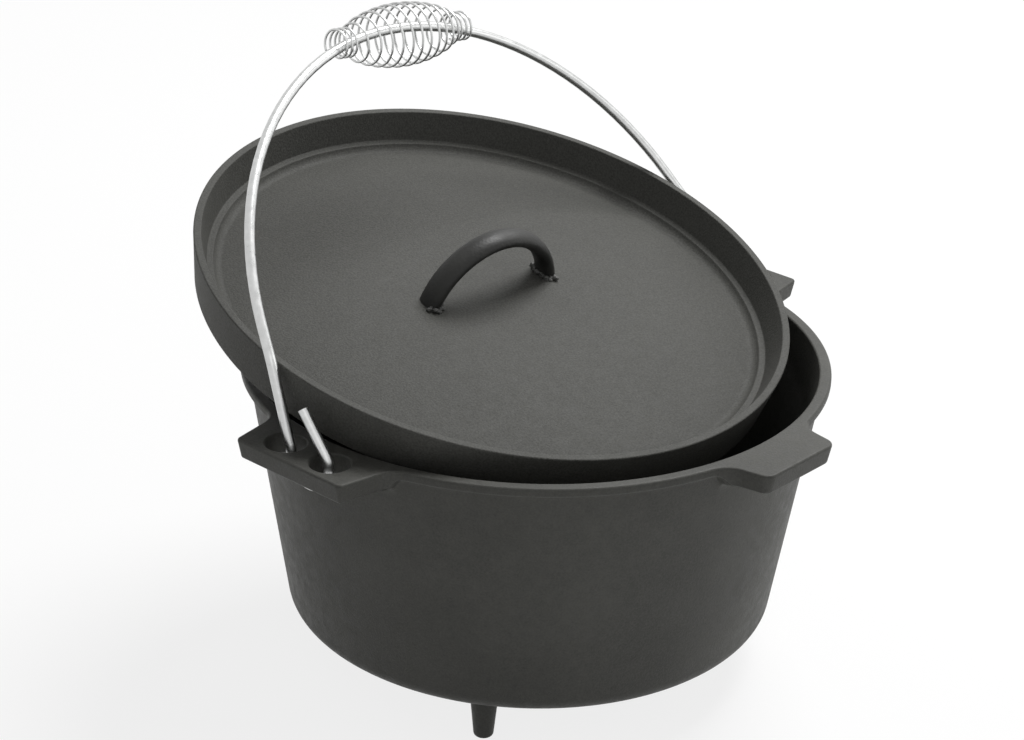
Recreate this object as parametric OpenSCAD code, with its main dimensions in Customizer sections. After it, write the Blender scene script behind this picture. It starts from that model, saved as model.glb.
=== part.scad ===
// Camp dutch oven: a three-legged iron kettle, a flanged lid set ajar and a wire bail with a coil grip.
// Millimetres. Z is up, and the origin is the centre of the kettle's flat underside.
// X runs through the two bail ears, and Y through the two lifting tabs.

/* [Kettle] */
// Outside diameter of the rim band
rim_d = 320; // [300:1:345]
// Width of the rim's flat top
rim_w = 6.5; // [5.5:0.1:10]
// Height from the underside to the rim's top
pot_h = 146; // [120:1:170]
// Outside diameter at the underside, measured to the sharp corner
base_d = 268; // [250:1:285]
// Thickness of the wall
wall_t = 5; // [4.5:0.1:6.5]
// Thickness of the floor
floor_t = 6; // [5:0.5:9]
// Outside radius between wall and underside
corner_r = 11; // [8:0.5:16]
// Height of the rim band
rim_h = 5; // [3:0.5:8]
// How far the rim band stands out from the wall
rim_out = 3.5; // [2:0.1:4.5]

/* [Feet] */
// Height of the feet under the kettle
foot_h = 29; // [20:1:40]
// Diameter of a foot at the kettle
foot_top_d = 16; // [13:0.5:20]
// Diameter of a foot near its tip
foot_tip_d = 10.5; // [9:0.5:12.5]
// Distance of the feet from the kettle's axis
foot_place_r = 111; // [90:1:114]

/* [Ears and tabs] */
// Thickness of the ears and tabs
ear_t = 11.5; // [10:0.5:13]
// Width of a bail ear at its outer edge
ear_w = 75; // [70:1:80]
// How far a bail ear stands out from the rim
ear_out = 25.5; // [24:0.5:29]
// Width of a lifting tab at its outer edge
tab_w = 56; // [48:1:64]
// How far a lifting tab stands out from the rim
tab_out = 21; // [17:0.5:25]
// Radius of the hollow curve between an ear and the rim
ear_fillet_r = 14; // [8:1:20]
// Outer corner radius of the ears
ear_corner_r = 3.5; // [2.5:0.5:6]
// Outer corner radius of the tabs
tab_corner_r = 3.5; // [2:0.5:5]
// How far the sides of the ears and tabs spread towards the rim, in degrees
ear_spread = 10; // [4:1:14]
// Diameter of the bail holes
hole_d = 21; // [20:0.5:22]
// Distance between the two holes of an ear
hole_gap = 32; // [31:0.5:34]
// Distance of the hole centres from the rim's outside
hole_out = 10.5; // [9.5:0.5:11.5]

/* [Lid] */
// Height of the lid's outer wall
lid_h = 28.3; // [25:0.1:31]
// How far the lid's seat reaches past the rim
seat_over = 0.5; // [0:0.1:1]
// How far the outer wall leans out from the seat to the lip
lip_flare = 4.9; // [3:0.1:5]
// Width of the lip's top
lip_w = 4.4; // [3.5:0.1:6]
// Depth of the ledge under the lip's top
ledge_depth = 16.8; // [14:0.1:18]
// How far the inner wall leans in from the lip to the ledge
ledge_in = 5.6; // [4.8:0.1:6.4]
// Depth of the flat middle of the plate under the lip's top
plate_depth = 13.3; // [12:0.1:15]
// Thickness of the plate
plate_t = 5.5; // [4.5:0.5:8]
// Height of the register that drops into the mouth
register_h = 4; // [2:0.5:6]
// Play of the register in the mouth
register_play = 1; // [0.6:0.1:2]
// Tilt of the lid as it lies ajar
lid_tilt = 14.9; // [12:0.1:17]
// How far the ajar lid's lip is pushed back from the kettle's axis
lid_back = 30.7; // [28:0.1:36]

/* [Lid handle] */
// Width of the handle's oval bar
bar_w = 14.5; // [12:0.5:16]
// Thickness of the handle's oval bar
bar_t = 8.5; // [7:0.5:10]
// Distance between the feet of the handle
handle_span = 83; // [74:1:90]
// Height of the bar's centre line over the plate
handle_h = 33.5; // [30:0.5:37]
// How far the handle sits off the lid's middle, along its span
handle_off = -2.5; // [-4:0.5:4]
// Turn of the handle on the lid
handle_turn = -7; // [-30:1:30]
// Radius of the weld bead's section
weld_r = 3; // [2:0.2:4]
// Length of the weld bead across the bar
weld_w = 12; // [8:0.5:14]

/* [Bail] */
// Diameter of the bail's wire
wire_d = 5.5; // [4.5:0.1:5.8]
// Height of the knees over the pivot, where the limbs turn into the hooks
knee_h = 54.5; // [52:0.5:58]
// How far the arch's radius passes the hole centres
arch_over = 2.2; // [1.4:0.1:2.6]
// How far the hooks stand out from the hole centres
hook_over = 1; // [0.6:0.1:1.4]
// Lean of the limbs below the arch, in degrees from the upright
limb_flare = 14.5; // [14:0.1:17]
// Twist of the arch against the hooks, as the bail has come to be bent, in degrees
bail_twist = 2.5; // [0:0.1:2.8]
// Radius of the hook round the web between the holes
hook_r = 13; // [12.6:0.1:13.3]
// Length of the hook's free end over the pivot
stub_h = 24; // [20:1:30]
// Lean of the bail as it lies back, in degrees from the upright
bail_lean = 38.8; // [30:0.1:40]
// How far the loose bail has slipped along its pivot
bail_slip = 2.8; // [1:0.1:3.2]

/* [Coil grip] */
// Diameter of the grip's wire
coil_wire_d = 1.3; // [1.2:0.1:1.8]
// Outside diameter of the grip at its middle
coil_d = 36; // [32:1:39]
// Outside diameter of the grip at its ends
coil_end_d = 17; // [16:0.5:18]
// Turns of the wide part
open_turns = 11; // [8:1:13]
// Turns of each narrow end
end_turns = 3; // [2:1:4]
// Distance between the turns of the wide part
open_pitch = 7; // [6.2:0.1:7.8]
// Distance between the turns of the ends
end_pitch = 3.7; // [2.9:0.1:4]
// Place of the grip on the arch, in degrees from its top
grip_turn = 5.5; // [-8:0.5:8]

/* [Hidden] */
$fn = 96;
// Facets round the bail's wire
wire_sides = 40;

iron = [0.25, 0.25, 0.24];
black_steel = [0.12, 0.12, 0.12];
bright_steel = [0.80, 0.81, 0.82];

// Clearance between pieces that move past each other
run_gap = 0.45;
// Overlap of shapes that are joined into one piece
join = 1;
// How far straight wire runs into a bend, and how much thinner it is there
lap = 0.6;
lap_step = 0.1;
// How deep a shape that flows into another starts inside it
sink = 0.4;
// Steps of a rounded corner in an outline
arc_steps = 8;
// Edge rounding of the castings
edge_r = 1.2;
// Chamfer of the bail holes
hole_chamfer = 1.2;
// Inside radius between wall and floor
inner_corner_r = corner_r + floor_t;
// Depth over which the mouth narrows to the wall's inside
mouth_bevel = 3;
// Height of the wedge under the root of an ear or tab
wedge_h = ear_t / 2;
// Radius of the rounding at a foot's tip
foot_round_r = 2.2;
// Side of a block that cuts a half space
half_space = 2 * rim_d;

rim_r = rim_d / 2;
mouth_r = rim_r - rim_w;
base_r = base_d / 2;
wall_top_r = rim_r - rim_out;
hole_x = rim_r + hole_out;
pivot_z = pot_h - ear_t / 2;

// Lean of the kettle's wall from the upright
wall_lean = atan2(wall_top_r - base_r, pot_h);
// Outside radius of the wall at a height
function wall_r(z) = base_r + (wall_top_r - base_r) * z / pot_h;
// Inside radius of the wall at a height
function bore_r(z) = wall_r(z) - wall_t / cos(wall_lean);
// Points on an arc in a profile
function arc(c, r, a0, a1) = [for (i = [0 : arc_steps]) let (a = a0 + (a1 - a0) * i / arc_steps)
    c + r * [cos(a), sin(a)]];

// Rounded corner between wall and underside, outside and inside
corner_c = [wall_r(corner_r) - corner_r / cos(wall_lean), corner_r];
inner_c = [bore_r(floor_t + inner_corner_r) - inner_corner_r / cos(wall_lean), floor_t + inner_corner_r];

// Turned body of the kettle
module kettle_body() {
    band_z = pot_h - rim_h;
    rotate_extrude()
    polygon(concat(
        [[0, 0]],
        arc(corner_c, corner_r, -90, -wall_lean),
        [[wall_r(band_z - rim_out), band_z - rim_out], [rim_r, band_z]],
        [[rim_r, pot_h - edge_r], [rim_r - edge_r, pot_h]],
        [[mouth_r, pot_h], [bore_r(pot_h - mouth_bevel), pot_h - mouth_bevel]],
        arc(inner_c, inner_corner_r, -wall_lean, -90),
        [[0, floor_t]]
    ));
}

// Outline of an ear or tab that stands out along X and flows into the rim
module lug_outline(w, out, turn_r) {
    reach = rim_r + out;
    root_r = mouth_r + join / 2;
    to_rim = [-cos(ear_spread), sin(ear_spread)];
    sideways = [sin(ear_spread), cos(ear_spread)];
    turn_c = [reach - turn_r, w / 2 - turn_r * (1 - sin(ear_spread)) / cos(ear_spread)];
    start = [reach, w / 2] + ear_fillet_r * sideways;
    fillet_d = rim_r - sink + ear_fillet_r;
    run = -start * to_rim - sqrt(pow(start * to_rim, 2) - start * start + fillet_d * fillet_d);
    fillet_c = start + run * to_rim;
    toe = atan2(fillet_c.y, fillet_c.x);
    upper = concat(
        arc(fillet_c, ear_fillet_r, 180 + toe, 270 - ear_spread),
        arc(turn_c, turn_r, 90 - ear_spread, 0));
    lower = [for (i = [len(upper) - 1 : -1 : 0]) [upper[i].x, -upper[i].y]];
    root = [for (i = [0 : arc_steps]) let (a = -toe + 2 * toe * i / arc_steps) root_r * [cos(a), sin(a)]];
    polygon(concat(root, upper, lower));
}

// One ear or tab: a flat plate at the rim's top with a wedge under its root
module lug(w, out, turn_r) {
    plate_z = pot_h - ear_t;
    wedge_z = plate_z - wedge_h;
    wedge_w = w - 2 * turn_r;
    wedge_x = bore_r(pot_h - ear_t + join) + sink;
    translate([0, 0, plate_z])
    linear_extrude(ear_t)
    lug_outline(w, out, turn_r);
    intersection() {
        translate([wedge_x, -wedge_w / 2, wedge_z])
        cube([out, wedge_w, wedge_h + join]);
        translate([0, 0, wedge_z])
        cylinder(h = wedge_h + join, r1 = wall_r(wedge_z) - join, r2 = rim_r + join);
    }
}

// Chamfered hole through a bail ear
module bail_hole() {
    r = hole_d / 2;
    translate([0, 0, pot_h - ear_t - join])
    cylinder(h = ear_t + 2 * join, r = r);
    translate([0, 0, pot_h - hole_chamfer])
    cylinder(h = hole_chamfer + join, r1 = r, r2 = r + hole_chamfer + join);
    translate([0, 0, pot_h - ear_t - join])
    cylinder(h = hole_chamfer + join, r1 = r + hole_chamfer + join, r2 = r);
}

// Tapered foot with a rounded tip, from the underside down
module foot() {
    tip_r = foot_tip_d / 2;
    rotate_extrude()
    polygon(concat(
        [[0, join], [0, -foot_h]],
        arc([tip_r - foot_round_r, foot_round_r - foot_h], foot_round_r, -90, 0),
        [[foot_top_d / 2, 0], [foot_top_d / 2, join]]
    ));
}

module pot() {
    feet = 3;
    quarter = 90;
    color(iron)
    difference() {
        union() {
            kettle_body();
            for (side = [0, 2]) rotate(side * quarter) lug(ear_w, ear_out, ear_corner_r);
            for (side = [1, 3]) rotate(side * quarter) lug(tab_w, tab_out, tab_corner_r);
            for (i = [0 : feet - 1]) rotate(quarter + i * 360 / feet) translate([foot_place_r, 0, 0]) foot();
        }
        for (sx = [-1, 1], sy = [-1, 1]) translate([sx * hole_x, sy * hole_gap / 2, 0]) bail_hole();
    }
}

// Lid sizes, measured from the lip's top down
seat_r = rim_r + seat_over;
lip_r = seat_r + lip_flare;
ledge_r = lip_r - lip_w - ledge_in;
register_r = mouth_r - register_play;
// Width of the register
register_w = 7;
// Radius of the plate's flat middle
flat_r = handle_span / 2 + bar_w;
// Width of the ledge at the foot of the inner wall
ledge_w = 3;
// Drop from the ledge to the plate's edge
ledge_drop = 2.3;
plate_edge_r = ledge_r - ledge_w - ledge_drop;
plate_edge_depth = ledge_depth + ledge_drop;

// Height of the ajar lid: the foot of its outer wall touches the mouth's edge at two side points
seat_back = lid_back + lid_h * sin(lid_tilt);
seat_drop = seat_back / tan(lid_tilt);
seat_over_mouth = seat_r * seat_r - mouth_r * mouth_r;
seat_up = sqrt(seat_drop * seat_drop + seat_back * seat_back + seat_over_mouth) - seat_drop;
lid_z = pot_h + seat_up + lid_h * cos(lid_tilt) + run_gap;

// Moves the lid and what is fixed to it from its own axis to where it lies ajar
module ajar() {
    translate([0, lid_back, lid_z])
    rotate([lid_tilt, 0, 0])
    children();
}

// Height of the plate's crown between its flat middle and its edge, as a share of its fall
function crown(i) = pow(i / arc_steps, 2);

// Points of the crowned plate's face at a depth, from the flat middle out
function crown_face(top, edge, out_r) = [for (i = [0 : arc_steps])
    [flat_r + (out_r - flat_r) * i / arc_steps, -top - (edge - top) * crown(i)]];

module lid() {
    top = crown_face(plate_depth, plate_edge_depth, plate_edge_r);
    under = crown_face(plate_depth + plate_t, plate_edge_depth + plate_t, register_r - register_w);
    outline = concat(
        [[0, -plate_depth - plate_t]],
        under,
        [[register_r - register_w, -lid_h - register_h], [register_r - join, -lid_h - register_h],
         [register_r, -lid_h], [seat_r, -lid_h]],
        arc([lip_r - edge_r, -edge_r], edge_r, 0, 90),
        arc([lip_r - lip_w + edge_r, -edge_r], edge_r, 90, 180),
        [[ledge_r, -ledge_depth], [ledge_r - ledge_w, -ledge_depth]],
        [for (i = [len(top) - 1 : -1 : 0]) top[i]],
        [[0, -plate_depth]]);
    color(iron)
    ajar()
    rotate_extrude()
    polygon(outline);
}

// Handle arch: an arc through both feet and the top
arch_r = (pow(handle_span / 2, 2) + handle_h * handle_h) / (2 * handle_h);

// The whole ring that the handle's arch is part of, upright on the plate
module handle_ring() {
    translate([0, 0, handle_h - arch_r])
    rotate([90, 0, 0])
    rotate_extrude()
    translate([arch_r, 0])
    scale([bar_t / bar_w, 1])
    circle(d = bar_w);
}

// Everything above the plate
module over_plate() {
    translate([-half_space / 2, -half_space / 2, 0])
    cube(half_space);
}

module on_plate() {
    ajar()
    translate([0, 0, -plate_depth])
    rotate(handle_turn)
    translate([handle_off, 0, 0])
    children();
}

module lid_handle() {
    color(black_steel)
    on_plate()
    intersection() {
        handle_ring();
        over_plate();
    }
}

// Bead along the inner side of a handle's foot
module weld(side) {
    color(black_steel)
    on_plate()
    difference() {
        intersection() {
            translate([side * (handle_span - bar_t) / 2, 0, 0])
            rotate([90, 0, 0])
            cylinder(h = weld_w, r = weld_r, center = true);
            over_plate();
        }
        handle_ring();
    }
}

module handle_weld_left() {
    weld(-1);
}

module handle_weld_right() {
    weld(1);
}

// Bail, measured from its pivot with the arch upright
bail_r = hole_x + arch_over;
hook_x = hole_x + hook_over;
limb_len = (hook_x / cos(bail_twist) - bail_r * cos(limb_flare)) / sin(limb_flare);
arch_z = knee_h + limb_len * cos(limb_flare) - bail_r * sin(limb_flare);
// Place of the knee across the hook, which the twist sets, and its distance from the pivot
knee_y = hook_x * tan(bail_twist);
knee_d = norm([knee_y, knee_h]);
// Slant of the limb's foot from the knee to the hook
foot_slant = asin(hook_r / knee_d) + atan2(knee_y, knee_h);
foot_len = sqrt(knee_d * knee_d - hook_r * hook_r);
// Bend at the knee, which joins the limb to its foot
knee_r = 3 * wire_d;
knee_bend = acos(cos(limb_flare) * cos(foot_slant) - sin(limb_flare) * sin(bail_twist) * sin(foot_slant));
knee_len = knee_r * tan(knee_bend / 2);
knee_side = 180 + atan2(sin(foot_slant) * cos(bail_twist),
    cos(foot_slant) * sin(limb_flare) + sin(foot_slant) * sin(bail_twist) * cos(limb_flare));

// Moves the bail and its grip from upright to where they lie back
module leaning() {
    translate([bail_slip, 0, pivot_z])
    rotate([-bail_lean, 0, 0])
    children();
}

// Wire bent to an arc in the XZ plane
module bent_wire(r, start, sweep) {
    rotate([90, 0, 0])
    rotate(start)
    rotate_extrude(angle = sweep)
    translate([r, 0])
    circle(d = wire_d);
}

// Straight wire along Z, a hair thinner than the bends, so that it ends inside them
module straight_wire(len) {
    translate([0, 0, -lap])
    cylinder(h = len + 2 * lap, d = wire_d - lap_step);
}

// One limb of the bail, from the arch down to the free end of its hook
module limb() {
    translate([hook_x, knee_y, knee_h]) {
        rotate([0, -limb_flare, bail_twist]) {
            translate([0, 0, knee_len])
            straight_wire(limb_len - knee_len);
            rotate(knee_side)
            translate([knee_r, 0, knee_len])
            bent_wire(knee_r, 180, knee_bend);
        }
        rotate([180 - foot_slant, 0, 0])
        translate([0, 0, knee_len])
        straight_wire(foot_len - knee_len);
    }
    translate([hook_x, 0, 0]) {
        rotate(90)
        bent_wire(hook_r, 180 - foot_slant, 180 + foot_slant);
        translate([0, hook_r, 0])
        straight_wire(stub_h);
    }
}

module bail() {
    $fn = wire_sides;
    color(bright_steel)
    leaning() {
        translate([0, 0, arch_z])
        rotate(bail_twist)
        bent_wire(bail_r, limb_flare, 180 - 2 * limb_flare);
        for (side = [0, 1]) rotate(side * 180) limb();
    }
}

// Coil grip: one tube along X, wound round the bail's arch
coil_turns = open_turns + 2 * end_turns;
coil_len = open_turns * open_pitch + 2 * end_turns * end_pitch;
rings_per_turn = 8;
tube_sides = 6;
coil_rings = coil_turns * rings_per_turn;
end_r = (coil_end_d - coil_wire_d) / 2;
mid_r = (coil_d - coil_wire_d) / 2;
// Steepness with which the wide part swells from its ends
swell = 0.65;
// The arch falls away from the grip's straight axis towards the grip's ends
arch_sag = bail_r - sqrt(bail_r * bail_r - coil_len * coil_len / 4);
// Depth of the wire under the axis at the grip's ends
end_low = end_r * cos(180 / rings_per_turn) - coil_wire_d / 2 - wire_d / 2 - run_gap;
grip_z = bail_r - arch_sag + end_low;

// Place along the grip, its radius there and the point on its wire, after a number of turns
function coil_x(t) = -coil_len / 2 + end_pitch * min(t, end_turns)
    + open_pitch * max(0, min(t - end_turns, open_turns))
    + end_pitch * max(0, t - end_turns - open_turns);
function open_share(t) = max(0, min(1, (t - end_turns) / open_turns));
function coil_r(t) = end_r + (mid_r - end_r) * pow(sin(180 * open_share(t)), swell);
function coil_point(t) = [coil_x(t), coil_r(t) * cos(360 * t), coil_r(t) * sin(360 * t)];
function unit(v) = v / norm(v);
// Share of a turn over which the wire's direction is taken
dt = 0.02;
function coil_dir(t) = unit(coil_point(t + dt) - coil_point(t - dt));

// Middle points of the tube, with a straight piece one wire long at each end
coil_mids = concat(
    [coil_point(0) - coil_wire_d * coil_dir(dt)],
    [for (i = [0 : coil_rings]) coil_point(i / rings_per_turn)],
    [coil_point(coil_turns) + coil_wire_d * coil_dir(coil_turns - dt)]);
coil_times = concat([dt], [for (i = [0 : coil_rings]) max(dt, min(coil_turns - dt, i / rings_per_turn))],
    [coil_turns - dt]);

// Least gap between turns of the wire, measured on the tube's middle points
coil_gap = min([for (i = [0 : coil_rings]) for (j = [i + rings_per_turn / 2 : coil_rings])
    norm(coil_mids[i] - coil_mids[j])]) - coil_wire_d;
echo(coil_gap = coil_gap);

module coil_tube() {
    last = len(coil_mids) - 1;
    points = [for (i = [0 : last])
        let (t = coil_times[i], d = coil_dir(t),
             out = [0, cos(360 * t), sin(360 * t)], side = unit(cross(d, out)), up = cross(side, d))
        for (k = [0 : tube_sides - 1]) let (a = 360 * k / tube_sides)
            coil_mids[i] + coil_wire_d / 2 * (cos(a) * up + sin(a) * side)];
    skin = [for (i = [0 : last - 1]) for (k = [0 : tube_sides - 1])
        let (a = i * tube_sides + k, b = i * tube_sides + (k + 1) % tube_sides)
        each [[a, b, b + tube_sides], [a, b + tube_sides, a + tube_sides]]];
    first_cap = [for (k = [1 : tube_sides - 2]) [0, k + 1, k]];
    end = last * tube_sides;
    last_cap = [for (k = [1 : tube_sides - 2]) [end, end + k, end + k + 1]];
    polyhedron(points, concat(skin, first_cap, last_cap));
}

module coil_grip() {
    color(bright_steel)
    leaning()
    translate([0, 0, arch_z])
    rotate([0, grip_turn, bail_twist])
    translate([0, 0, grip_z])
    coil_tube();
}

pot();
lid();
lid_handle();
handle_weld_left();
handle_weld_right();
bail();
coil_grip();
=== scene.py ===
# %% [markdown]
# A camp oven is a kettle of cast iron, a flanged lid that lies ajar on it, a bar handle welded to the lid, and
# a wire bail with a coil grip. Its solids are packed in one frame, with the joints that move them.

# %% Load the frame
import math
import random
import bmesh
import bpy
from mathutils import Matrix, Vector


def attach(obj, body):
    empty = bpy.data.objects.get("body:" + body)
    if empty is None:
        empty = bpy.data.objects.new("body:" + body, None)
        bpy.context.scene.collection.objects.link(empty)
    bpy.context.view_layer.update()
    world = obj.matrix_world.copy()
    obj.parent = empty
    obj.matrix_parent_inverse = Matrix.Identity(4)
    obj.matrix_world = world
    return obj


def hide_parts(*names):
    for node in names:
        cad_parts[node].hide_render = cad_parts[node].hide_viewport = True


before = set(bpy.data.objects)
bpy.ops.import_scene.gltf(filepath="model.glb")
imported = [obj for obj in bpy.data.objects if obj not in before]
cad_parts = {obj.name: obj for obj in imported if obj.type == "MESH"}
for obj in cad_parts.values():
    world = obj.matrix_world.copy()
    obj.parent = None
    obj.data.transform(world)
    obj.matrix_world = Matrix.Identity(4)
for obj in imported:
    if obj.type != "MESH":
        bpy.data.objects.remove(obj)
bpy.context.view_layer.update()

# %% [markdown]
# The solids are exact but plain: their edges are sharp and their wide curves are made of bands. A Bevel
# modifier could soften them, but it trips over the loose triangles of such a mesh. So the castings and the
# wires are built again here from the same sizes, with soft cast edges, and each new piece takes the place of
# its solid. All lengths are in metres.

# %% Sizes of the kettle
MM = 0.001
RIM_R, MOUTH_R = 160 * MM, 153.5 * MM
WALL_TOP_R, BASE_R = 156.5 * MM, 134 * MM
POT_H, WALL, FLOOR_T = 146 * MM, 5 * MM, 6 * MM
WALL_LEAN = math.atan2(WALL_TOP_R - BASE_R, POT_H)


def wall_r(z):
    """Radius of the outer wall at a height."""
    return BASE_R + (WALL_TOP_R - BASE_R) * z / POT_H


def bore_r(z):
    """Radius of the inner wall at a height."""
    return wall_r(z) - WALL / math.cos(WALL_LEAN)


print("the wall leans out by", round(math.degrees(WALL_LEAN), 2), "degrees")

# %% [markdown]
# Every piece needs a finish, so the finishes start here. A finish is a small graph of nodes. It could be put
# together by hand in the Shader editor, but a script can be read and run again. The first helpers make a node
# and feed its inputs, either with a plain value or with a link from another node. A new finish starts with a
# Principled shader, and with the Object coordinates that all its patterns will read.

# %% Helpers for nodes
def feed(tree, made, inputs):
    for key, value in inputs.items():
        if hasattr(value, "links"):
            tree.links.new(value, made.inputs[key])
        else:
            made.inputs[key].default_value = value


def node(tree, kind, inputs=(), **settings):
    made = tree.nodes.new(kind)
    for key, value in settings.items():
        setattr(made, key, value)
    feed(tree, made, dict(inputs))
    return made


def new_finish(name):
    finish = bpy.data.materials.new(name)
    finish.use_nodes = True
    tree = finish.node_tree
    tree.nodes.clear()
    shader = node(tree, "ShaderNodeBsdfPrincipled")
    node(tree, "ShaderNodeOutputMaterial", {"Surface": shader.outputs["BSDF"]})
    place = node(tree, "ShaderNodeTexCoord").outputs["Object"]
    return finish, tree, shader, place


print("nodes and sockets have the names of Blender", bpy.app.version_string)

# %% [markdown]
# A pattern is a chain of a few nodes, and the same chains come back in every finish. A noise gives a number at
# each place, which can be mixed with another, spread over a range, turned into colours or used as a height.
# Copying whole graphs would hide what differs between two finishes, so each link of the chain is a helper.

# %% Helpers for patterns
def noise_of(tree, place, scale, detail, roughness):
    return node(tree, "ShaderNodeTexNoise", {"Vector": place, "Scale": scale, "Detail": detail,
                                             "Roughness": roughness}).outputs["Fac"]


def mixed(tree, share, first, second):
    return node(tree, "ShaderNodeMix", {0: share, 2: first, 3: second}).outputs[0]


def spread(tree, value, low, high, to_low, to_high):
    return node(tree, "ShaderNodeMapRange", {"Value": value, "From Min": low, "From Max": high,
                                             "To Min": to_low, "To Max": to_high}).outputs["Result"]


def colours(tree, value, *stops):
    """A ramp of two colours, each stop a position and a colour."""
    ramp = node(tree, "ShaderNodeValToRGB", {"Fac": value})
    for element, (position, colour) in zip(ramp.color_ramp.elements, stops):
        element.position = position
        element.color = (*colour, 1)
    return ramp.outputs["Color"]


def bump_of(tree, height, strength, distance, **below):
    return node(tree, "ShaderNodeBump", {"Height": height, "Strength": strength, "Distance": distance,
                                         **below}).outputs["Normal"]


# %% [markdown]
# Seasoned cast iron is nearly black, but a sand mould leaves a fine grain on it, and that grain catches light,
# so lit faces look grey and matte. A picture of iron could be wrapped round the piece, but it would stretch
# over the lugs. Three noises need no wrapping: a grain of about a millimetre goes into the bump and the
# colour, a mottle of some millimetres shifts the roughness, and soft clouds show where oil has built up. The
# lid is rougher than the kettle and shows more grain. All of it reads Object coordinates, so it stays on the
# piece when a body moves.

# %% The cast iron finish
CLOUDS, MOTTLE, SAND = 14, 170, 900  # how many lumps of each noise there are in a metre
MOTTLE_SHARE, LUMP_STRENGTH = 0.45, 0.15


def cast_iron(name, dark, light, grain, shine=0.5, rough=(0.46, 0.62), sand_share=0.5):
    finish, tree, shader, place = new_finish(name)
    clouds = noise_of(tree, place, CLOUDS, 5, 0.6)
    mottle = noise_of(tree, place, MOTTLE, 6, 0.65)
    sand = noise_of(tree, place, SAND, 2, 0.6)
    grainy = mixed(tree, sand_share, mixed(tree, MOTTLE_SHARE, clouds, mottle), sand)
    lumps = bump_of(tree, mottle, LUMP_STRENGTH, 2 * grain)
    feed(tree, shader, {"Specular IOR Level": shine,
                        "Base Color": colours(tree, grainy, (0.38, dark), (0.62, light)),
                        "Roughness": spread(tree, mottle, 0.35, 0.65, *rough),
                        "Normal": bump_of(tree, sand, 1.0, grain, Normal=lumps)})
    return finish


kettle_iron = cast_iron("kettle_iron", (0.038, 0.038, 0.034), (0.070, 0.070, 0.063), 0.00017, shine=0.24,
                        sand_share=0.3)
lid_iron = cast_iron("lid_iron", (0.033, 0.033, 0.029), (0.062, 0.062, 0.056), 0.00024, shine=0.32,
                     rough=(0.66, 0.72), sand_share=0.65)
print("finishes:", kettle_iron.name, lid_iron.name)

# %% [markdown]
# The kettle is cast in one with two ears for the bail, two lifting tabs and three feet. Booleans could join it
# from simple shapes, but they would leave a sharp line at every joint. Seen from above, its edge is a circle
# with four lugs, and every straight line from the middle crosses that edge once. So the whole casting can be
# one net of points: columns stand round the edge, and rings run from the middle of the underside up the wall,
# out under the lugs, over their soft edges and down into the bore. One lug comes first: a hollow curve out of
# the rim, a side that spreads a little, and a rounded corner.

# %% The edge of one lug
LUG_FILLET_R, LUG_SPREAD = 14 * MM, math.radians(10)
HOLLOW_STEPS, CORNER_STEPS, STRAIGHT_STEPS = 10, 8, 4


def arc(middle, r, start, end, steps):
    """Points of a flat arc from one angle to another."""
    angles = [start + (end - start) * k / steps for k in range(steps + 1)]
    return [(middle[0] + r * math.cos(a), middle[1] + r * math.sin(a)) for a in angles]


def lug_edge(width, out, corner_r):
    """Edge of a lug along X, from its lower toe on the rim to its upper one, and the angle of that toe."""
    reach, half = RIM_R + out, width / 2
    to_rim = Vector((-math.cos(LUG_SPREAD), math.sin(LUG_SPREAD)))
    sideways = Vector((math.sin(LUG_SPREAD), math.cos(LUG_SPREAD)))
    start = Vector((reach, half)) + LUG_FILLET_R * sideways
    along = -start.dot(to_rim)
    past = math.sqrt(along ** 2 - start.length_squared + (RIM_R + LUG_FILLET_R) ** 2)
    hollow = start + to_rim * (along - past)
    toe = math.atan2(hollow.y, hollow.x)
    inner = half - corner_r * (1 - math.sin(LUG_SPREAD)) / math.cos(LUG_SPREAD)
    upper = arc(hollow, LUG_FILLET_R, math.pi + toe, 1.5 * math.pi - LUG_SPREAD, HOLLOW_STEPS)
    upper += arc((reach - corner_r, inner), corner_r, math.pi / 2 - LUG_SPREAD, 0, CORNER_STEPS)
    straight = [(reach, inner * s / STRAIGHT_STEPS) for s in range(1 - STRAIGHT_STEPS, STRAIGHT_STEPS)]
    return [(x, -y) for x, y in upper] + straight + upper[::-1], toe


ear = lug_edge(width=75 * MM, out=25.5 * MM, corner_r=3.5 * MM)
tab = lug_edge(width=56 * MM, out=21 * MM, corner_r=7 * MM)
print("points of an ear and a tab:", len(ear[0]), len(tab[0]))

# %% [markdown]
# Ears and tabs take turns round the rim, a quarter turn apart, with plain arcs between them. A lug could be
# copied with an Array modifier, but the arcs between an ear and a tab have to meet both. Every point also gets
# its own outward direction. Pushing a ring in along these keeps all edges equally soft, which shrinking it
# towards the middle would not.

# %% The kettle's edge from above
RIM_STEPS = 36

edge = []
lugs = [ear, tab, ear, tab]
for k, (lug, toe) in enumerate(lugs):
    turn = Matrix.Rotation(k * math.pi / 2, 2)
    edge += [turn @ Vector(p) for p in lug]
    start, end = k * math.pi / 2 + toe, (k + 1) * math.pi / 2 - lugs[(k + 1) % 4][1]
    edge += [RIM_R * Vector(p) for p in arc((0, 0), 1, start, end, RIM_STEPS)[1:-1]]
outward = []
for i in range(len(edge)):
    along = edge[(i + 1) % len(edge)] - edge[i - 1]
    outward.append(Vector((along.y, -along.x)).normalized())
print("columns of the kettle:", len(edge))

# %% [markdown]
# Each ring is now a short rule: a distance from the axis and a height, or the edge pushed in by some amount.
# Under a lug the casting is thick and flat, and between the lugs it is a low band. Sculpting that change would
# leave bumps, so the height of the underside slides from one to the other by a rule, along the hollow curve
# where a lug flows into the rim. A mould needs draft to come off the casting, so a lug narrows downwards.

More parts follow.
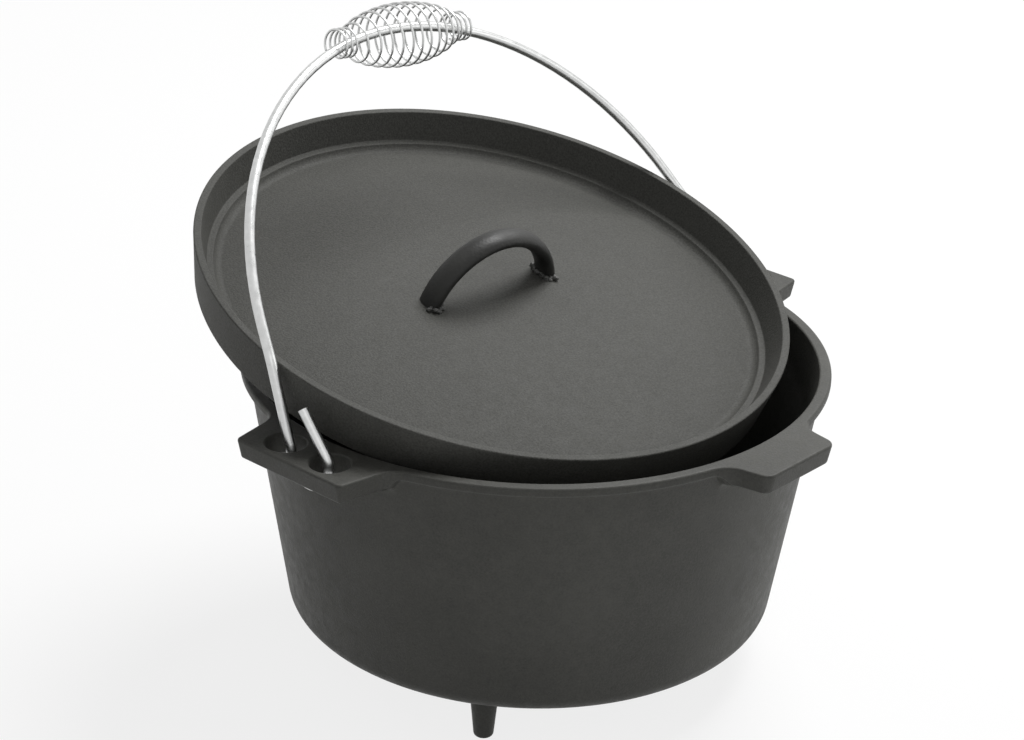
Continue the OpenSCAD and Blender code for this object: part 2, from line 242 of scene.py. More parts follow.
# %% Rules for the rings
EAR_T, BAND_T = 11.5 * MM, 5 * MM
LUG_RISE = 5 * MM  # how far out from the rim a lug has its full depth
BAND_BLEND, LUG_BLEND = 3.6 * MM, 7 * MM  # height of the hollow curve below the band and below a lug
BLEND_OUT = 0.8  # how far that curve runs out, as a share of its height
DRAFT = 0.2

columns = len(edge)
facing = [p.normalized() for p in edge]


def smooth_step(x):
    x = max(0.0, min(1.0, x))
    return x * x * (3 - 2 * x)


lugness = [smooth_step((p.length - RIM_R) / LUG_RISE) for p in edge]
under_z = [POT_H - BAND_T - (EAR_T - BAND_T) * w for w in lugness]
blend = [BAND_BLEND + (LUG_BLEND - BAND_BLEND) * w for w in lugness]


def round_ring(r, z):
    return [Vector((*(f * r), z)) for f in facing]


def edge_ring(push, heights):
    """The edge pushed in, and on a lug pushed in more towards its lower side."""
    draft = [w * DRAFT * (POT_H - z) for w, z in zip(lugness, heights)]
    return [Vector((*(p - n * (push + d)), z)) for p, n, z, d in zip(edge, outward, heights, draft)]


def under_ring(share):
    """From the wall out to the flat underside of a lug or the band, along a hollow curve."""
    ring = []
    for f, z, b in zip(facing, under_z, blend):
        start = Vector((wall_r(z - b), z - b))
        knee = Vector((wall_r(z), z))
        end = Vector((wall_r(z) + BLEND_OUT * b, z))
        q = start * (1 - share) ** 2 + knee * 2 * share * (1 - share) + end * share ** 2
        ring.append(Vector((*(f * q.x), q.y)))
    return ring


print("columns on the lugs:", sum(w > 0.5 for w in lugness), "of", columns)

# %% [markdown]
# Many outlines here have rounded corners: the kettle's mouth, the feet, the lid and even the bail's knee. A
# Bevel modifier rounds a finished mesh, but then every edge needs a weight. It is simpler to round the outline
# before it becomes a mesh: this helper swaps a corner, flat or in space, for an arc that leaves both sides
# smoothly, as a file or a bender would.

# %% Rounded outlines
def rounded(corners, steps=6):
    """Points of an outline whose corners (point, radius) are turned into arcs."""
    out = []
    for i, (p, radius) in enumerate(corners):
        p = Vector(p)
        if radius == 0 or i in (0, len(corners) - 1):
            out.append(p)
            continue
        a, b = Vector(corners[i - 1][0]) - p, Vector(corners[i + 1][0]) - p
        room = 0.49 * min(a.length, b.length)
        a.normalize()
        b.normalize()
        half = a.angle(b) / 2
        reach = min(radius / math.tan(half), room)
        r = reach * math.tan(half)
        middle = p + (a + b).normalized() * (r / math.sin(half))
        u = (p + a * reach - middle) / r
        w = (p + b * reach - middle) / r
        w = (w - u * w.dot(u)).normalized()
        sweep = math.pi - 2 * half
        for k in range(steps + 1):
            turn = sweep * k / steps
            out.append(middle + r * (math.cos(turn) * u + math.sin(turn) * w))
    return out


print("a rounded corner has", len(rounded([((0, 0), 0), ((1, 0), 0.2), ((1, 1), 0)])) - 2, "points")

# %% [markdown]
# Now the rings are strung together in order, as if a finger went from the middle of the underside round the
# whole wall to the middle of the floor inside. Rings lie close together where the casting bends and far apart
# where it runs straight, which spends points only where they show.

# %% The kettle's rings
CORNER_R, INNER_CORNER_R = 11 * MM, 17 * MM
SOFT_EDGE, EDGE_STEPS, UNDER_STEPS, OUTER_STEPS, INNER_STEPS = 1.6 * MM, 5, 5, 9, 10
MOUTH_LIP, MOUTH_STEP, MOUTH_DEPTH, THROAT_R, THROAT_Z = 1.2 * MM, 0.6 * MM, 4 * MM, 2 * MM, 118 * MM
BASE_RADII, FLOOR_RADII = (30, 75, 105), (80, 40)  # of the flat rings, in millimetres
WALL_HEIGHTS, BORE_HEIGHTS = (30, 55, 80, 100, 116), (90, 60, 35)  # of the straight rings, in millimetres

outer_c = (wall_r(CORNER_R) - CORNER_R / math.cos(WALL_LEAN), CORNER_R)
inner_z = FLOOR_T + INNER_CORNER_R
inner_c = (bore_r(inner_z) - INNER_CORNER_R / math.cos(WALL_LEAN), inner_z)
quarter = [math.pi / 2 * k / EDGE_STEPS for k in range(EDGE_STEPS + 1)]
mouth = rounded([((MOUTH_R + 2 * MOUTH_LIP, POT_H), 0), ((MOUTH_R, POT_H), MOUTH_LIP),
                 ((MOUTH_R - MOUTH_STEP, POT_H - MOUTH_DEPTH), THROAT_R), ((bore_r(THROAT_Z), THROAT_Z), 0)])

rings = [round_ring(r * MM, 0) for r in BASE_RADII]
rings += [round_ring(r, z) for r, z in arc(outer_c, CORNER_R, -math.pi / 2, -WALL_LEAN, OUTER_STEPS)]
rings += [round_ring(wall_r(z * MM), z * MM) for z in WALL_HEIGHTS]
rings += [under_ring(k / UNDER_STEPS) for k in range(UNDER_STEPS + 1)]
rings += [edge_ring(SOFT_EDGE * (1 - math.sin(a)), [z + SOFT_EDGE * (1 - math.cos(a)) for z in under_z])
          for a in quarter]
rings += [edge_ring(SOFT_EDGE * (1 - math.cos(a)), [POT_H - SOFT_EDGE * (1 - math.sin(a))] * columns)
          for a in quarter]
rings += [round_ring(r, z) for r, z in mouth]
rings += [round_ring(bore_r(z * MM), z * MM) for z in BORE_HEIGHTS]
rings += [round_ring(r, z) for r, z in arc(inner_c, INNER_CORNER_R, -WALL_LEAN, -math.pi / 2, INNER_STEPS)]
rings += [round_ring(r * MM, FLOOR_T) for r in FLOOR_RADII]
print("rings of the kettle:", len(rings))

# %% [markdown]
# Points alone don't show, so two helpers join them with faces. The first works between neighbouring rings. The
# second turns an outline round its axis. A Screw modifier could do that too, but it leaves the poles open or
# doubled, and here an outline that starts and ends on the axis closes by itself.

# %% Faces between rings
def rings_to_faces(rings):
    """Faces between neighbouring rings of point numbers; a ring of one point is a pole."""
    faces = []
    for low, high in zip(rings, rings[1:]):
        n = max(len(low), len(high))
        for k in range(n):
            j = (k + 1) % n
            if len(low) == 1:
                faces.append((low[0], high[k], high[j]))
            elif len(high) == 1:
                faces.append((low[k], high[0], low[j]))
            else:
                faces.append((low[k], high[k], high[j], low[j]))
    return faces


def add_turned(points, faces, outline, sides, place):
    """Adds a turned shape to a mesh, from its outline of (radius, height), set at a place."""
    rings = []
    for r, z in outline:
        count = 1 if r < 1e-7 else sides
        rings.append([len(points) + k for k in range(count)])
        for k in range(count):
            a = 2 * math.pi * k / count
            points.append(place @ Vector((r * math.cos(a), r * math.sin(a), z)))
    faces += rings_to_faces(rings)


two_rings = [range(columns), range(columns, 2 * columns)]
print("faces between two rings:", len(rings_to_faces(two_rings)))

# %% [markdown]
# The feet are short pegs that grow out of the underside with a small hollow at the root. Cylinders would look
# stuck on, so each foot is turned from an outline with a rounded tip and a flared root, and set on the same
# mesh as the wall. A mesh made in code has no shading set and its faces may point either way. So it is made
# smooth, and its normals are worked out once so that all faces point out.

# %% The kettle's skin and its feet
FEET, FOOT_SIDES, FOOT_H, FOOT_PLACE_R = 3, 40, 29 * MM, 111 * MM
FOOT_TIP_R, FOOT_ROOT_R, FOOT_FLARE_R = 5.25 * MM, 8 * MM, 11.5 * MM
FOOT_ROOT_Z, FOOT_FLARE_Z, FOOT_TOP_Z = -0.3 * MM, 0.4 * MM, 3 * MM
TIP_SOFT, ROOT_SOFT = 2.2 * MM, 4 * MM


def new_piece(name, material, points=(), edges=(), faces=()):
    mesh = bpy.data.meshes.new(name)
    mesh.from_pydata([tuple(p) for p in points], edges, faces)
    mesh.materials.append(material)
    piece = bpy.data.objects.new(name, mesh)
    bpy.context.scene.collection.objects.link(piece)
    return piece


def face_out(piece):
    """Turns all faces of the piece outwards and shades them smooth."""
    bm = bmesh.new()
    bm.from_mesh(piece.data)
    bmesh.ops.recalc_face_normals(bm, faces=bm.faces)
    for face in bm.faces:
        face.smooth = True
    bm.to_mesh(piece.data)
    bm.free()


points = [Vector((0, 0, 0))] + [p for ring in rings for p in ring] + [Vector((0, 0, FLOOR_T))]
numbers = [[0]] + [[1 + r * columns + k for k in range(columns)] for r in range(len(rings))]
faces = rings_to_faces(numbers + [[len(points) - 1]])
foot = rounded([((0, -FOOT_H), 0), ((FOOT_TIP_R, -FOOT_H), TIP_SOFT), ((FOOT_ROOT_R, FOOT_ROOT_Z), ROOT_SOFT),
                ((FOOT_FLARE_R, FOOT_FLARE_Z), 0), ((0, FOOT_TOP_Z), 0)])
for k in range(FEET):
    a = math.pi / 2 + 2 * math.pi * k / FEET
    place = Matrix.Translation((FOOT_PLACE_R * math.cos(a), FOOT_PLACE_R * math.sin(a), 0))
    add_turned(points, faces, foot, FOOT_SIDES, place)
kettle = new_piece("kettle_casting", kettle_iron, points, faces=faces)
face_out(kettle)
print("faces before the holes are cut:", len(kettle.data.polygons))

# %% [markdown]
# Each ear has two holes for the bail's hook. They could be left open in the net of points, but round holes
# don't fit its columns, so one Boolean cuts all four. The cutters' ends flare, which leaves a soft lip on both
# faces, as a core in the mould does. A Weighted Normal modifier then keeps the flat tops looking flat next to
# their soft edges. What the modifiers show becomes the piece's own mesh, because the export wants it plain.

# %% The bail holes
HOLE_R, HOLE_X, HOLE_Y, HOLE_LIP, HOLE_SIDES = 10.5 * MM, 170.5 * MM, 16 * MM, 1.3 * MM, 56
CUT_PAST, LIP_STEPS = 4 * MM, 5


def keep_flats(piece):
    flat = piece.modifiers.new("Flat faces stay flat", "WEIGHTED_NORMAL")
    flat.keep_sharp = True


def applied(piece):
    """The piece with its modifiers turned into plain mesh."""
    seen = piece.evaluated_get(bpy.context.evaluated_depsgraph_get())
    mesh = bpy.data.meshes.new_from_object(seen)
    piece.modifiers.clear()
    old, piece.data = piece.data, mesh
    bpy.data.meshes.remove(old)
    return piece


low, high, lip_r = POT_H - EAR_T, POT_H, HOLE_R + HOLE_LIP
hole = [(0, low - CUT_PAST), (lip_r, low - CUT_PAST)]
hole += arc((lip_r, low + HOLE_LIP), -HOLE_LIP, math.pi / 2, 0, LIP_STEPS)
hole += arc((lip_r, high - HOLE_LIP), -HOLE_LIP, 0, -math.pi / 2, LIP_STEPS)
hole += [(lip_r, high + CUT_PAST), (0, high + CUT_PAST)]
cut_points, cut_faces = [], []
for x in (-HOLE_X, HOLE_X):
    for y in (-HOLE_Y, HOLE_Y):
        add_turned(cut_points, cut_faces, hole, HOLE_SIDES, Matrix.Translation((x, y, 0)))
cutter = new_piece("hole_cutter", kettle_iron, cut_points, faces=cut_faces)
face_out(cutter)
cut = kettle.modifiers.new("Bail holes", "BOOLEAN")
cut.object, cut.operation, cut.solver = cutter, "DIFFERENCE", "EXACT"
keep_flats(kettle)
applied(kettle)
bpy.data.objects.remove(cutter)
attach(kettle, "kettle")
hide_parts("pot")
print("kettle faces:", len(kettle.data.polygons))

# %% [markdown]
# The lid lies ajar: it has slid back, so that its near side dips into the mouth and its far side stands up over
# the rim. Tilting the object would do for a picture, but a finished piece has to sit at the origin, unturned.
# So the lid is drawn about its own axis, and this matrix then moves its points to where they lie.

# %% Where the lid lies
LID_TILT, LID_BACK, LID_H = math.radians(14.9), 30.7 * MM, 28.3 * MM
SEAT_R, SEAT_GAP = 160.5 * MM, 0.45 * MM

back = LID_BACK + LID_H * math.sin(LID_TILT)
drop = back / math.tan(LID_TILT)
seat_up = math.sqrt(drop ** 2 + back ** 2 + SEAT_R ** 2 - MOUTH_R ** 2) - drop
lid_z = POT_H + seat_up + LID_H * math.cos(LID_TILT) + SEAT_GAP
ajar = Matrix.Translation((0, LID_BACK, lid_z)) @ Matrix.Rotation(LID_TILT, 4, "X")
print("middle of the lid's lip is at", round(lid_z, 4))

# %% [markdown]
# The lid has an upright lip for holding embers, a narrow ledge at the lip's foot, a hollow, and a plate that
# crowns towards the middle. Under it are a seat and a register that drops into the kettle's mouth. All of that
# is round, so one outline describes it: it starts under the middle, goes out round the lip and comes back over
# the face of the plate.

# %% The lid's outline
PLATE_DEPTH, PLATE_T, FLAT_R = 11.3 * MM, 5.5 * MM, 56 * MM
UNDER_DEPTH, REGISTER_R = 24.6 * MM, 145.5 * MM
FACE_DEPTH, FACE_R = 19.6 * MM, 146.5 * MM
HOLLOW_R, HOLLOW_END, LID_HOLLOW_STEPS = 5 * MM, math.radians(68), 9
LID_EDGE = [(145.5, -32.3, 1.5), (151.5, -32.3, 1.2),  # the register: radius, height, softness in millimetres
            (152.5, -28.3, 0.8), (160.5, -28.3, 1.3),  # the seat
            (165.4, 0, 0.8), (161, 0, 0.8),            # the top of the lip
            (155.7, -16.3, 0.9), (152.5, -16.3, 1.2)]  # the ledge


def crown(top, edge_depth, out_r, steps=14):
    """Points of the plate's face from the flat middle out."""
    return [((FLAT_R + (out_r - FLAT_R) * k / steps, -top - (edge_depth - top) * (k / steps) ** 2), 0)
            for k in range(steps + 1)]


face = crown(PLATE_DEPTH, FACE_DEPTH, FACE_R)
(near_r, near_z), (last_r, last_z) = face[-2][0], face[-1][0]
fall = math.atan2(near_z - last_z, last_r - near_r)
hollow = []
for k in range(1, LID_HOLLOW_STEPS + 1):
    a = -fall + (HOLLOW_END + fall) * k / LID_HOLLOW_STEPS
    step = Vector((math.sin(a) + math.sin(fall), math.cos(fall) - math.cos(a)))
    hollow.append((Vector((last_r, last_z)) + HOLLOW_R * step, 0))
lid_corners = [((0, -PLATE_DEPTH - PLATE_T), 0)] + crown(PLATE_DEPTH + PLATE_T, UNDER_DEPTH, REGISTER_R)
lid_corners += [((r * MM, z * MM), soft * MM) for r, z, soft in LID_EDGE]
lid_corners += hollow[::-1] + face[::-1] + [((0, -PLATE_DEPTH), 0)]
print("corners of the lid's outline:", len(lid_corners))

# %% [markdown]
# Turning that outline gives the casting. It needs many sides, because the lip is the largest circle in view
# and a coarse one would show flats against the white.

# %% The lid's casting
LID_SIDES = 240

lid_points, lid_faces = [], []
add_turned(lid_points, lid_faces, rounded(lid_corners), LID_SIDES, ajar)
lid = new_piece("lid_casting", lid_iron, lid_points, faces=lid_faces)
face_out(lid)
keep_flats(lid)
applied(lid)
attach(lid, "lid")
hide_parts("lid")
print("lid faces:", len(lid.data.polygons))

# %% [markdown]
# The lid's handle is a bar bent to an arch. It could be swept again along a curve, but its solid already has a
# true oval section, so it stays and only gets its finish: black paint that is smoother than the iron, with a
# faint orange peel and soft patches where it was handled.

# %% The handle's paint
def black_paint(name):
    finish, tree, shader, place = new_finish(name)
    patches = noise_of(tree, place, 60, 4, 0.6)
    peel = noise_of(tree, place, 700, 3, 0.5)
    black = colours(tree, patches, (0.4, (0.012, 0.012, 0.011)), (0.62, (0.024, 0.024, 0.022)))
    feed(tree, shader, {"Specular IOR Level": 0.3, "Base Color": black,
                        "Roughness": spread(tree, patches, 0.35, 0.65, 0.44, 0.62),
                        "Normal": bump_of(tree, peel, 0.6, 0.0003)})
    return finish


handle_paint = black_paint("handle_paint")
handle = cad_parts["lid_handle"]
for slot in handle.material_slots:
    slot.material = handle_paint

# %% [markdown]
# A weld bead is a row of small puddles that ran into each other. A torus would be too even, so each puddle is a
# ball of its own size, squashed and set round the bar's foot, and a voxel Remesh melts the balls into one
# lumpy skin. The sizes come from a random generator with a fixed seed, so the bead is the same on every run.

# %% The weld beads
HANDLE_SPAN, HANDLE_OFF, HANDLE_TURN = 83 * MM, -2.5 * MM, math.radians(-7)
BAR_W, BAR_T = 14.5 * MM, 8.5 * MM
PUDDLES, BEAD_END, MELT_SIZE = 48, 1.1, 0.3 * MM
OUT_FROM_BAR, UP_FROM_PLATE, PUDDLE_R = (-0.4, 2.4), (0.0, 1.6), (0.8, 1.6)  # least and most, in millimetres
SQUASH = (0.75, 1.15)

on_plate = (ajar @ Matrix.Translation((0, 0, -PLATE_DEPTH)) @ Matrix.Rotation(HANDLE_TURN, 4, "Z")
            @ Matrix.Translation((HANDLE_OFF, 0, 0)))
weld_paint = cast_iron("weld_paint", (0.012, 0.012, 0.011), (0.075, 0.075, 0.070), 0.0003)


def weld_bead(name, side, start, seed):
    """A bead round a foot of the bar, from an angle to BEAD_END; side is -1 for the left foot."""
    chance = random.Random(seed)
    bead = new_piece(name, weld_paint)
    bm = bmesh.new()
    for _ in range(PUDDLES):
        turn, out = chance.uniform(start, BEAD_END), chance.uniform(*OUT_FROM_BAR) * MM
        inward, across = (BAR_T / 2 + out) * math.cos(turn), (BAR_W / 2 + out) * math.sin(turn)
        spot = Vector((side * (HANDLE_SPAN / 2 - inward), across, chance.uniform(*UP_FROM_PLATE) * MM))
        r = chance.uniform(*PUDDLE_R) * MM
        ball = Matrix.Translation(spot) @ Matrix.Diagonal((1, 1, chance.uniform(*SQUASH), 1))
        bmesh.ops.create_icosphere(bm, subdivisions=2, radius=r, matrix=on_plate @ ball)
    bm.to_mesh(bead.data)
    bm.free()
    melt = bead.modifiers.new("Melt", "REMESH")
    melt.mode, melt.voxel_size, melt.use_smooth_shade = "VOXEL", MELT_SIZE, True
    return applied(bead)


for side, node_name, start, seed in ((-1, "handle_weld_left", -2.6, 3), (1, "handle_weld_right", -1.7, 8)):
    bead = weld_bead(node_name + "_bead", side, start, seed)
    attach(bead, "lid")
    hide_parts(node_name)
    print(bead.name, "faces:", len(bead.data.polygons))

# %% [markdown]
# Both wires are paths with a round section. A curve with a bevel depth would do, but Geometry Nodes give one
# tree for both, with named inputs for the wire's radius, its sides and its finish. The path is a chain of
# points and edges, Mesh to Curve makes it a curve, and Curve to Mesh sweeps a circle along it. The path
# carries a number called thickness, which draws the cut ends in a little, as a cropper does.

# %% The tree that sweeps a wire
def wire_tree():
    tree = bpy.data.node_groups.new("Wire along a path", "GeometryNodeTree")
    face = tree.interface
    face.new_socket("Geometry", in_out="INPUT", socket_type="NodeSocketGeometry")
    ids = {"radius": face.new_socket("Wire radius", in_out="INPUT", socket_type="NodeSocketFloat").identifier,
           "sides": face.new_socket("Sides", in_out="INPUT", socket_type="NodeSocketInt").identifier,
           "finish": face.new_socket("Finish", in_out="INPUT", socket_type="NodeSocketMaterial").identifier}
    face.new_socket("Geometry", in_out="OUTPUT", socket_type="NodeSocketGeometry")
    given = node(tree, "NodeGroupInput").outputs
    path = node(tree, "GeometryNodeMeshToCurve", {"Mesh": given["Geometry"]})
    thick = node(tree, "GeometryNodeInputNamedAttribute", {"Name": "thickness"}, data_type="FLOAT")
    sized = node(tree, "GeometryNodeSetCurveRadius", {"Curve": path.outputs["Curve"],
                                                      "Radius": thick.outputs["Attribute"]})
    section = node(tree, "GeometryNodeCurvePrimitiveCircle", {"Resolution": given["Sides"],
                                                              "Radius": given["Wire radius"]})
    swept = node(tree, "GeometryNodeCurveToMesh", {"Curve": sized.outputs["Curve"], "Fill Caps": True,
                                                   "Profile Curve": section.outputs["Curve"]})
    soft = node(tree, "GeometryNodeSetShadeSmooth", {"Geometry": swept.outputs["Mesh"]})
    real = node(tree, "GeometryNodeRealizeInstances", {"Geometry": soft.outputs[0]})
    dressed = node(tree, "GeometryNodeSetMaterial", {"Geometry": real.outputs["Geometry"],
                                                     "Material": given["Finish"]})
    node(tree, "NodeGroupOutput", {"Geometry": dressed.outputs["Geometry"]})
    return tree, ids


wire, wire_ids = wire_tree()
print("inputs of the wire tree:", wire_ids)

# %% [markdown]
# A wire piece is its path with that tree as a modifier. The inputs are set by the identifiers of their
# sockets, because two inputs may share a name. The swept mesh then replaces the path, and its faces are turned
# out once more, since the sweep may leave the caps facing in.

# %% A piece of wire
CROPPED = 0.82  # share of the wire's thickness that is left at a cut end


def wire_piece(name, path, radius, sides, finish):
    last = len(path) - 1
    piece = new_piece(name, finish, path, [(k, k + 1) for k in range(last)])
    thickness = piece.data.attributes.new("thickness", "FLOAT", "POINT")
    thickness.data.foreach_set("value", [CROPPED if k in (0, last) else 1.0 for k in range(last + 1)])
    sweep = piece.modifiers.new("Wire", "NODES")
    sweep.node_group = wire
    for key, value in (("radius", radius), ("sides", sides), ("finish", finish)):
        sweep[wire_ids[key]] = value
    applied(piece)
    face_out(piece)
    return piece


print("a cut end keeps", CROPPED, "of the wire's thickness")

# %% [markdown]
# The wire is steel with a bright zinc coat. Zinc isn't mirror bright: it has a pale, slightly blotched sheen
# and fine dull spots. A plain metal would look like chrome, so this one keeps a medium roughness that varies,
# and its colour shifts a little.

# %% The zinc finish
def bright_zinc(name):
    finish, tree, shader, place = new_finish(name)
    blotch = noise_of(tree, place, 240, 5, 0.6)
    fine = noise_of(tree, place, 1500, 2, 0.5)
    pale = colours(tree, blotch, (0.35, (0.52, 0.525, 0.52)), (0.65, (0.60, 0.605, 0.60)))
    feed(tree, shader, {"Metallic": 1.0, "Base Color": pale,
                        "Roughness": spread(tree, blotch, 0.3, 0.7, 0.26, 0.36),
                        "Normal": bump_of(tree, fine, 0.3, 0.0001)})
    return finish


zinc = bright_zinc("bright_zinc")
print("finish of both wires:", zinc.name)

# %% [markdown]
# The bail is one wire: an arch, two limbs that flare, a knee on each side, and a hook that goes down through
# one hole of an ear, under the web and up through the other. It leans back against the lid, a little twisted
# and slipped to one side. It could be drawn leaning, but its sizes are easier to read on an upright bail, so
# these matrices lean it afterwards. The limbs' length follows from the arch and the hooks' distance.

# %% Where the bail lies
HOOK_R, HOOK_X, KNEE_H = 13 * MM, 171.5 * MM, 54.5 * MM
BAIL_R, FLARE = 172.7 * MM, math.radians(14.5)
TWIST, LEAN, SLIP = math.radians(2.5), math.radians(38.8), 2.8 * MM

limb_len = (HOOK_X / math.cos(TWIST) - BAIL_R * math.cos(FLARE)) / math.sin(FLARE)
arch_z = KNEE_H + limb_len * math.cos(FLARE) - BAIL_R * math.sin(FLARE)
leaning = Matrix.Translation((SLIP, 0, POT_H - EAR_T / 2)) @ Matrix.Rotation(-LEAN, 4, "X")
twisted = Matrix.Rotation(TWIST, 4, "Z")
print("length of a limb:", round(limb_len, 4), "middle of the arch above the pivot:", round(arch_z, 4))

# %% [markdown]
# A few handles on a Bezier curve could trace the wire, but its bends are true arcs, as a bender makes them. So
# one half is a chain of points from the cropped end of the stub, round the hook, over the knee and up to the
# top of the arch. A half turn of these points gives the other half.

# %% The bail
WIRE_R, WIRE_SIDES, KNEE_R = 2.75 * MM, 24, 16.5 * MM
STUB_H, CROP_LEN, STUB_FOOT = 24.6 * MM, 0.6 * MM, 8 * MM
HOOK_STEPS, KNEE_STEPS, ARCH_STEPS = 22, 8, 24

knee_y = HOOK_X * math.tan(TWIST)
slant = math.asin(HOOK_R / math.hypot(knee_y, KNEE_H)) + math.atan2(knee_y, KNEE_H)


def arch_point(a):
    return twisted @ Vector((BAIL_R * math.cos(a), 0, arch_z + BAIL_R * math.sin(a)))


limb = [((HOOK_X, HOOK_R, z), 0) for z in (STUB_H, STUB_H - CROP_LEN, STUB_FOOT)]
limb += [((HOOK_X, y, z), 0) for y, z in arc((0, 0), HOOK_R, 2 * math.pi, math.pi - slant, HOOK_STEPS)]
limb += [((HOOK_X, knee_y, KNEE_H), KNEE_R), (arch_point(FLARE), 0)]
half_path = rounded(limb, KNEE_STEPS)
half_path += [arch_point(FLARE + (math.pi / 2 - FLARE) * k / ARCH_STEPS) for k in range(1, ARCH_STEPS + 1)]
turned = [Vector((-p.x, -p.y, p.z)) for p in half_path[-2::-1]]
bail = wire_piece("bail_wire", [leaning @ p for p in half_path + turned], WIRE_R, WIRE_SIDES, zinc)
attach(bail, "bail")
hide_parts("bail")
print("bail faces:", len(bail.data.polygons))

# %% [markdown]
# The grip is a barrel spring wound from thin wire: narrow turns at both ends hold it on the bail, and wide
# turns between them stay cool in the hand. Blender's spiral has one steady pitch and taper, so it can't make a
# barrel. Here the path follows a rule of its own: the place along the axis and the radius both depend on the
# number of turns so far. It is the same rule as in the solid, with more points per turn.

# %% The coil grip
COIL_R, COIL_SIDES, COIL_D, COIL_END_D = 0.65 * MM, 10, 36 * MM, 17 * MM
OPEN_TURNS, END_TURNS, OPEN_PITCH, END_PITCH = 11, 3, 7 * MM, 3.7 * MM
BARREL, GRIP_GAP, GRIP_TURN = 0.65, 0.45 * MM, math.radians(5.5)
POINTS_PER_TURN = 40

turns = OPEN_TURNS + 2 * END_TURNS
coil_len = OPEN_TURNS * OPEN_PITCH + 2 * END_TURNS * END_PITCH
end_r, mid_r = COIL_END_D / 2 - COIL_R, COIL_D / 2 - COIL_R
sag = BAIL_R - math.sqrt(BAIL_R ** 2 - coil_len ** 2 / 4)
grip_z = BAIL_R - sag + end_r * math.cos(math.pi / 8) - COIL_R - WIRE_R - GRIP_GAP
on_arch = (leaning @ twisted @ Matrix.Translation((0, 0, arch_z)) @ Matrix.Rotation(GRIP_TURN, 4, "Y")
           @ Matrix.Translation((0, 0, grip_z)))


def coil_point(t):
    x = -coil_len / 2 + END_PITCH * min(t, END_TURNS)
    x += OPEN_PITCH * max(0, min(t - END_TURNS, OPEN_TURNS)) + END_PITCH * max(0, t - END_TURNS - OPEN_TURNS)
    share = max(0.0, min(1.0, (t - END_TURNS) / OPEN_TURNS))
    r = end_r + (mid_r - end_r) * math.sin(math.pi * share) ** BARREL
    return Vector((x, r * math.cos(2 * math.pi * t), r * math.sin(2 * math.pi * t)))


coil_path = [on_arch @ coil_point(k / POINTS_PER_TURN) for k in range(turns * POINTS_PER_TURN + 1)]
grip = wire_piece("coil_grip_wire", coil_path, COIL_R, COIL_SIDES, zinc)
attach(grip, "grip")
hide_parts("coil_grip")
print("coil turns:", turns, "coil faces:", len(grip.data.polygons))

# %% [markdown]
# The set is plain: a pale floor in a white surrounding. Strong lamps could burn the floor out to white, but
# they would burn the oven too. So rays from the camera, and rays that iron and zinc mirror, see white, while
# the light on the oven itself stays at a plain level. Near the oven the floor mixes that white with a little
# of an ordinary pale surface, so that it keeps a soft shadow.

# %% The floor
FLOOR_HALF, FLOOR_GREY = 9.0, 0.86
GLOW_NEAR, GLOW_FAR, GLOW_LEAST = 0.5, 2.5, 0.82


def seen_directly(tree):
    path = node(tree, "ShaderNodeLightPath").outputs
    seen = path["Is Camera Ray"]
    for ray in ("Is Glossy Ray", "Is Transmission Ray"):
        seen = node(tree, "ShaderNodeMath", {0: seen, 1: path[ray]}, operation="MAXIMUM").outputs[0]
    return seen


floor_finish = bpy.data.materials.new("pale_floor")
floor_finish.use_nodes = True
tree = floor_finish.node_tree
tree.nodes.clear()
pale = node(tree, "ShaderNodeBsdfDiffuse", {"Color": (FLOOR_GREY, FLOOR_GREY, FLOOR_GREY, 1)})
white = node(tree, "ShaderNodeEmission", {"Color": (1, 1, 1, 1), "Strength": 1.0})
away = node(tree, "ShaderNodeVectorMath", {0: node(tree, "ShaderNodeTexCoord").outputs["Object"]},
            operation="LENGTH").outputs["Value"]
glow = node(tree, "ShaderNodeMapRange", {"Value": away, "From Min": GLOW_NEAR, "From Max": GLOW_FAR,
                                         "To Min": GLOW_LEAST, "To Max": 1.0},
            interpolation_type="SMOOTHSTEP").outputs["Result"]
share = node(tree, "ShaderNodeMath", {0: seen_directly(tree), 1: glow}, operation="MULTIPLY").outputs[0]
mix = node(tree, "ShaderNodeMixShader", {0: share, 1: pale.outputs[0], 2: white.outputs[0]})
node(tree, "ShaderNodeOutputMaterial", {"Surface": mix.outputs[0]})
corners = [(x * FLOOR_HALF, y * FLOOR_HALF, -FOOT_H) for x, y in ((-1, -1), (1, -1), (1, 1), (-1, 1))]
floor = new_piece("floor", floor_finish, corners, faces=[(0, 1, 2, 3)])
print("the floor lies at", floor.data.vertices[0].co.z)

# %% [markdown]
# A studio has big soft boxes and pale walls. The walls are the world's even light, and three round area lamps
# stand in for the boxes: a strong one high up behind the oven, to the right, a faint one in front and a faint
# one at the right. Small lamps would draw hard shadows and hot spots on the iron, so all three are larger than
# the oven.

# %% The surrounding and the lamps
WORLD_LEVEL = 0.22
AIM = Vector((0, 0, 0.1))

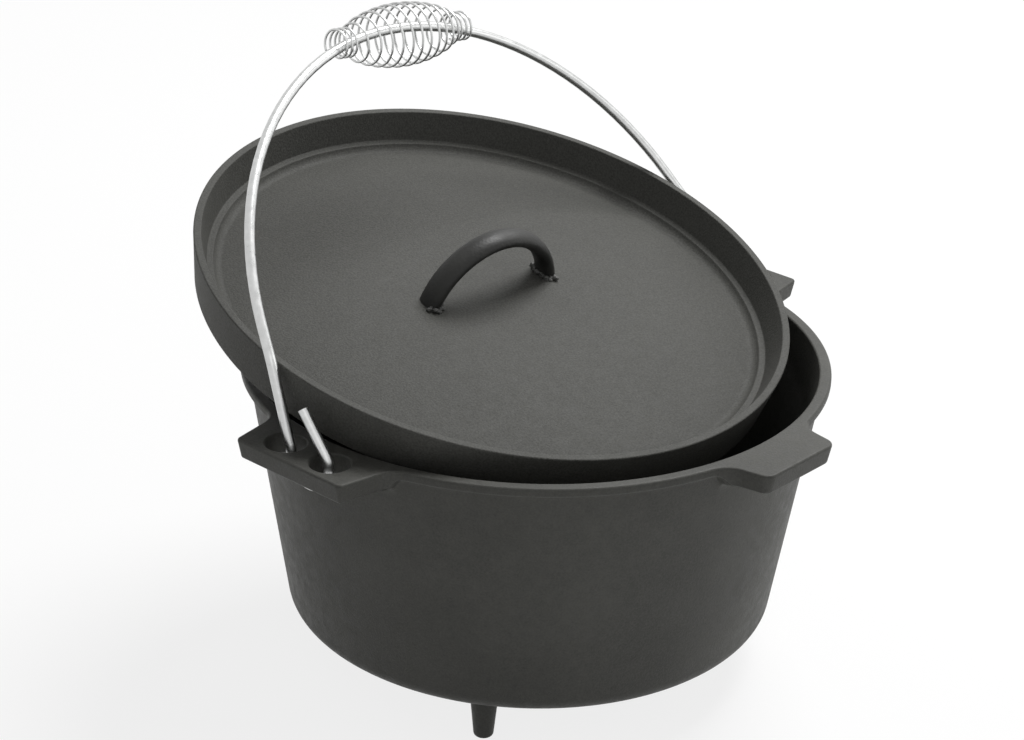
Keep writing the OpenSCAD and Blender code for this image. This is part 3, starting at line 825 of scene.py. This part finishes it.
world = bpy.data.worlds.new("white_surrounding")
bpy.context.scene.world = world
world.use_nodes = True
tree = world.node_tree
tree.nodes.clear()
level = node(tree, "ShaderNodeMapRange", {"Value": seen_directly(tree), "To Min": WORLD_LEVEL, "To Max": 1.0})
air = node(tree, "ShaderNodeBackground", {"Color": (1, 1, 1, 1), "Strength": level.outputs["Result"]})
node(tree, "ShaderNodeOutputWorld", {"Surface": air.outputs[0]})


def soft_lamp(name, place, size, watts):
    lamp = bpy.data.lights.new(name, "AREA")
    lamp.shape, lamp.size, lamp.energy = "DISK", size, watts
    stand = bpy.data.objects.new(name, lamp)
    bpy.context.scene.collection.objects.link(stand)
    towards = (AIM - Vector(place)).to_track_quat("-Z", "Y").to_matrix().to_4x4()
    stand.matrix_world = Matrix.Translation(place) @ towards
    print(name, "at", place, watts, "W")


soft_lamp("top_lamp", (1.2, 0.1, 2.1), 1.3, 62)
soft_lamp("fill_lamp", (-1.6, -1.9, 1.3), 2.0, 5)
soft_lamp("side_lamp", (1.7, -1.6, 0.8), 1.6, 7)

# %% [markdown]
# The camera stands where the photograph was taken from. It could be placed by eye, but a small error in its
# place shows as a wrong shape. So its place, turn and focal length were found by fitting the rim, the lid and
# the feet, and the oven falls on the same pixels. The picture is 1024 by 740.

# %% The camera
EYE, AHEAD = (-0.9821, -0.8594, 0.7438), (0.6762, 0.6035, -0.4226)
ROLL, LENS, SENSOR = math.radians(-1.606), 92.9, 36

ahead = Vector(AHEAD).normalized()
right = ahead.cross(Vector((0, 0, 1))).normalized()
down = ahead.cross(right)
across = math.cos(ROLL) * right + math.sin(ROLL) * down
under = -math.sin(ROLL) * right + math.cos(ROLL) * down
camera = bpy.data.objects.new("camera", bpy.data.cameras.new("camera"))
bpy.context.scene.collection.objects.link(camera)
camera.matrix_world = Matrix.Translation(EYE) @ Matrix((across, -under, -ahead)).transposed().to_4x4()
camera.data.sensor_fit, camera.data.sensor_width, camera.data.lens = "HORIZONTAL", SENSOR, LENS
camera.data.clip_end = 50
bpy.context.scene.camera = camera
bpy.context.scene.view_settings.view_transform = "Standard"
print("the camera stands", round(Vector(EYE).length, 3), "from the middle of the kettle's base")
